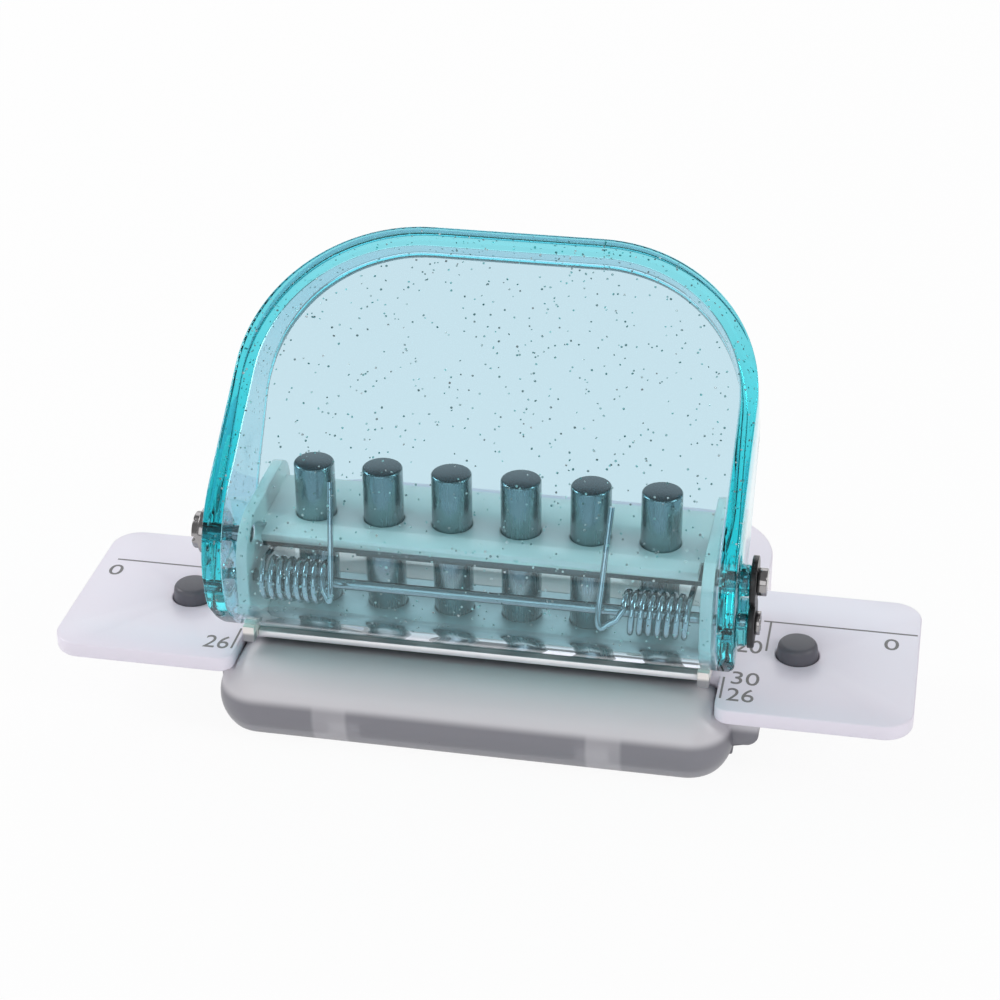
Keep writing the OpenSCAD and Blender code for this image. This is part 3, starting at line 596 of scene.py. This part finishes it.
def lever_spring_line(side):
    """The middle of the wire: a leg behind the housing, the coil, the knee and a leg up the lever."""
    count = TURNS * POINTS_PER_TURN
    coil = [coil_point(i / count, side) for i in range(count + 1)]
    first = math.radians(FIRST_DEG)
    last = math.radians(LAST_DEG)
    back = Vector((0, math.sin(first), -math.cos(first)))
    front = Vector((0, -math.sin(last), math.cos(last)))
    up = Vector((side * LEG_SPLAY, math.cos(LEG_LEAN), math.sin(LEG_LEAN))).normalized()
    back_leg = [coil[0] + back * step * MM for step in BACK_LEG_STEPS]
    leave = coil[-1]
    knee_y = BEND_Y - BEND_CLEAR * KNEE_SHARE
    knee = Vector((KNEE_X[side], knee_y, leave.z + front.z / front.y * (knee_y - leave.y)))
    eased = leave.lerp(knee, 0.25) + front * 0.45 * MM
    start = leave.lerp(knee, 0.55)
    leg = [knee + up * step * MM for step in LEG_STEPS]
    bend = []
    for i in range(1, BEND_PARTS):
        t = i / BEND_PARTS
        bend.append(start * (1 - t) ** 2 + knee * 2 * t * (1 - t) + leg[0] * t * t)
    return back_leg + coil + [eased, start] + bend + leg


for side, label in SIDES:
    spring = wire("lever_spring_" + label, lever_spring_line(side), WIRE_R, rounding=3)
    finish_piece(spring, "lever_spring_" + label, None, "bright_steel", bright_steel, smooth_deg=60)
    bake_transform(spring)
    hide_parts("torsion_spring_" + label)


# Peg springs

PEG_X = 42.75 * MM
PEG_COIL_R = 2.22 * MM
PEG_COIL_LOW = 4.0 * MM
PEG_COIL_HIGH = 7.65 * MM
PEG_WIRE_R = 0.2 * MM
PEG_COIL_TURN = 2 * math.pi * 3.5
PEG_COIL_PARTS = 84


def peg_spring_line(side):
    """The middle of the wire: a coil about a peg's axis."""
    line = []
    for i in range(PEG_COIL_PARTS + 1):
        turn = PEG_COIL_TURN * i / PEG_COIL_PARTS
        rise = (PEG_COIL_HIGH - PEG_COIL_LOW) * turn / PEG_COIL_TURN
        line.append(Vector((side * PEG_X + PEG_COIL_R * math.cos(turn), PEG_COIL_R * math.sin(turn),
                            PEG_COIL_LOW + rise)))
    return line


for side, label in SIDES:
    spring = wire("peg_spring_%s_wire" % label, peg_spring_line(side), PEG_WIRE_R, rounding=2)
    finish_piece(spring, "peg_spring_%s_wire" % label, "base", "bright_steel", bright_steel, smooth_deg=60)
    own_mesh(spring)
    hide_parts("peg_spring_" + label)


# Glitter in the lever

FLAKES = 1650
# The least and the largest radius of a flake, in millimetres
FLAKE_R = (0.12, 0.2)
FLAKE_HALF_T = 0.012 * MM
# The least distance from the lever's skin, and the most that a flake tilts from lying along it
FLAKE_GAP = 0.32 * MM
FLAKE_TILT = 0.7


def flake(points, faces, middle, turn, radius):
    """Adds one thin six-sided flake to the lists."""
    first = len(points)
    for z in (-FLAKE_HALF_T, FLAKE_HALF_T):
        for k in range(6):
            angle = math.pi * k / 3
            points.append(middle + turn @ Vector((radius * math.cos(angle), radius * math.sin(angle), z)))
    faces.append([first + k for k in (5, 4, 3, 2, 1, 0)])
    faces.append([first + 6 + k for k in range(6)])
    for k in range(6):
        n = (k + 1) % 6
        faces.append([first + k, first + n, first + 6 + n, first + 6 + k])


def inside(skin, spot):
    """Whether a spot is inside a closed skin, by counting the walls on the way out."""
    way = Vector((0.13, 0.29, 0.95)).normalized()
    walls = 0
    while True:
        hit = skin.ray_cast(spot, way)[0]
        if hit is None:
            return walls % 2 == 1
        walls += 1
        spot = hit + way * 0.0005 * MM


def glitter(count):
    """Fills the lever's plastic with flakes at random places, seeded so that each run is the same."""
    chance = random.Random(26)
    shell = nodes["lever"]
    skin = BVHTree.FromPolygons([shell.matrix_world @ v.co for v in shell.data.vertices],
                                [list(face.vertices) for face in shell.data.polygons])
    low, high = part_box("lever")
    points, faces = [], []
    made = 0
    while made < count:
        spot = Vector([chance.uniform(low[i], high[i]) for i in range(3)])
        _, normal, _, gap = skin.find_nearest(spot)
        if gap < FLAKE_GAP or not inside(skin, spot):
            continue
        turn = normal.to_track_quat("Z", "Y").to_matrix()
        for axis in "XY":
            turn = turn @ Matrix.Rotation(chance.uniform(-FLAKE_TILT, FLAKE_TILT), 3, axis)
        turn = turn @ Matrix.Rotation(chance.uniform(0, math.pi), 3, "Z")
        flake(points, faces, spot, turn, chance.uniform(*FLAKE_R) * MM)
        made += 1
    mesh = bpy.data.meshes.new("lever_glitter")
    mesh.from_pydata([list(p) for p in points], [], faces)
    piece = bpy.data.objects.new("lever_glitter", mesh)
    bpy.context.scene.collection.objects.link(piece)
    finish_piece(piece, "lever_glitter", "lever", "lever_acrylic", flake_foil, smooth_deg=20)


glitter(FLAKES)


# Printed marks on the deck

DECK_TOP = 11 * MM
INK_T = 0.03 * MM
INK_Z = DECK_TOP + INK_T / 2
STROKE_W = 0.28 * MM
# Both ends of each line, in millimetres
STROKES = (
    (37.5, 7.5, 58.6, 7.5),
    (-37.5, 7.5, -56.6, 7.5),
    (38.5, 7.4, 38.5, 0.1),
    (33.6, -7.2, 33.6, -12.2),
    (-33.6, -7.2, -33.6, -12.2))
# Each number with its lower left corner, its width and its height, in millimetres
NUMBERS = (
    ("20", 34.3, -0.8, 3.6, 3.2),
    ("30", 34.6, -8.6, 3.7, 3.0),
    ("26", 34.4, -12.6, 3.6, 3.0),
    ("26", -37.7, -12.5, 3.5, 3.0),
    ("0", 54.2, 3.3, 2.0, 2.7),
    ("0", -56.9, 3.3, 2.0, 2.7))


def stroke(from_x, from_y, to_x, to_y):
    """A printed line on the deck."""
    bpy.ops.object.select_all(action="DESELECT")
    bpy.ops.mesh.primitive_cube_add(size=1.0, location=(
        (from_x + to_x) / 2 * MM, (from_y + to_y) / 2 * MM, INK_Z))
    piece = bpy.context.object
    piece.rotation_euler.z = math.atan2(to_y - from_y, to_x - from_x)
    piece.scale = (math.hypot(to_x - from_x, to_y - from_y) * MM, STROKE_W, INK_T)
    return piece


def number(text, x, y, width, height):
    """A plain number printed with its lower left corner at x, y."""
    bpy.ops.object.select_all(action="DESELECT")
    bpy.ops.object.text_add(location=(0, 0, 0))
    piece = bpy.context.object
    piece.data.body = text
    piece.data.resolution_u = 4
    piece.data.extrude = 0.5
    bpy.ops.object.convert(target="MESH")
    piece = bpy.context.object
    spread = [[v.co[i] for v in piece.data.vertices] for i in range(2)]
    low = [min(v) for v in spread]
    size = [max(v) - min(v) for v in spread]
    piece.scale = (width * MM / size[0], height * MM / size[1], INK_T)
    piece.location = (x * MM - low[0] * piece.scale.x, y * MM - low[1] * piece.scale.y, INK_Z)
    return piece


printed = [stroke(*ends) for ends in STROKES]
printed += [number(*text_and_place) for text_and_place in NUMBERS]
for piece in printed:
    place_in_mesh(piece)
select_only(*printed)
bpy.ops.object.join()
marks = bpy.context.object
mend_walls(marks)
finish_piece(marks, "deck_marks", "base", "deck_plastic", ink, smooth_deg=20)


# Floor, which glows for the eye and keeps the shadow

def build_floor_paint():
    """Pale paint that shows as a glow on the rays that come from the eye."""
    material = bpy.data.materials.new("floor_paint")
    material.use_nodes = True
    tree = material.node_tree
    paint = tree.nodes["Principled BSDF"]
    paint.inputs["Base Color"].default_value = (0.86, 0.86, 0.87, 1)
    paint.inputs["Roughness"].default_value = 0.9
    glow = add(tree, "Emission")
    glow.inputs["Color"].default_value = (1.0, 1.0, 1.0, 1)
    ray = add(tree, "LightPath")
    seen = maths(tree, "MAXIMUM", ray.outputs["Is Camera Ray"], ray.outputs["Is Glossy Ray"])
    seen = maths(tree, "MAXIMUM", seen, ray.outputs["Is Transmission Ray"])
    mix = add(tree, "MixShader")
    tree.links.new(maths(tree, "MULTIPLY", seen, 0.93), mix.inputs[0])
    tree.links.new(paint.outputs[0], mix.inputs[1])
    tree.links.new(glow.outputs[0], mix.inputs[2])
    tree.links.new(mix.outputs[0], tree.nodes["Material Output"].inputs["Surface"])
    return material


bpy.ops.object.select_all(action="DESELECT")
bpy.ops.mesh.primitive_plane_add(size=6.0, location=(0, 0, 0))
floor = bpy.context.object
floor.name = "studio_floor"
floor.data.materials.append(build_floor_paint())


# Light

# The room's strength: plain, where it is seen straight or through the lever, and in mirrors
ROOM_PLAIN = 0.5
ROOM_SEEN = 1.0
ROOM_MIRRORED = 0.3

world = bpy.data.worlds.new("studio")
bpy.context.scene.world = world
world.use_nodes = True
tree = world.node_tree
sky = tree.nodes["Background"]
sky.inputs["Color"].default_value = (1.0, 1.0, 1.0, 1)
ray = add(tree, "LightPath")
# A mirror behind the lever also counts, after more than the two crossings of its skin
mirrored = maths(tree, "MULTIPLY", maths(tree, "GREATER_THAN", ray.outputs["Glossy Depth"], 0.5),
                 maths(tree, "GREATER_THAN", ray.outputs["Transmission Depth"], 2.5))
mirrored = maths(tree, "MAXIMUM", mirrored, ray.outputs["Is Glossy Ray"])
seen = maths(tree, "MAXIMUM", ray.outputs["Is Camera Ray"], ray.outputs["Is Transmission Ray"])
seen = maths(tree, "MULTIPLY", seen, maths(tree, "SUBTRACT", 1.0, mirrored))
more = maths(tree, "MULTIPLY", seen, ROOM_SEEN - ROOM_PLAIN)
less = maths(tree, "MULTIPLY", mirrored, ROOM_PLAIN - ROOM_MIRRORED)
strength = maths(tree, "ADD", maths(tree, "SUBTRACT", more, less), ROOM_PLAIN)
tree.links.new(strength, sky.inputs["Strength"])


def softbox(name, place, size, power):
    """A lamp that shines on the punch from its place, with its width and height in metres."""
    light = bpy.data.lights.new(name, "AREA")
    light.shape = "RECTANGLE"
    light.size, light.size_y = size
    light.energy = power
    lamp = bpy.data.objects.new(name, light)
    bpy.context.scene.collection.objects.link(lamp)
    lamp.location = place
    aim = Vector((0, 0, 0.02)) - Vector(place)
    lamp.rotation_euler = aim.to_track_quat("-Z", "Y").to_euler()


softbox("right_softbox", (0.75, -0.15, 0.45), (0.12, 0.4), 1.5)
softbox("back_softbox", (-0.1, 0.85, 0.45), (1.1, 0.6), 2.4)
softbox("left_softbox", (-0.85, 0.12, 0.65), (0.4, 0.4), 3.4)
softbox("front_softbox", (-0.1, -0.9, 0.4), (1.0, 0.6), 2.5)


# Camera, with its lens, its turn and its place fitted to the photo

LENS = 86.514
RIGHT = Vector((0.9811, 0.1932, -0.0107))
UP = Vector((-0.0875, 0.4921, 0.8663))
BACK = RIGHT.cross(UP).normalized()
EYE_X = 57.645 * MM
EYE_Y = -274.687 * MM
EYE_Z = 192.760 * MM

view = bpy.data.cameras.new("camera")
view.sensor_width = 36.0
view.lens = LENS
view.clip_start = 0.01
camera = bpy.data.objects.new("camera", view)
bpy.context.scene.collection.objects.link(camera)
camera.matrix_world = Matrix((
    (RIGHT.x, UP.x, BACK.x, EYE_X),
    (RIGHT.y, UP.y, BACK.y, EYE_Y),
    (RIGHT.z, UP.z, BACK.z, EYE_Z),
    (0, 0, 0, 1)))
bpy.context.scene.camera = camera
bpy.context.scene.view_settings.view_transform = "Standard"
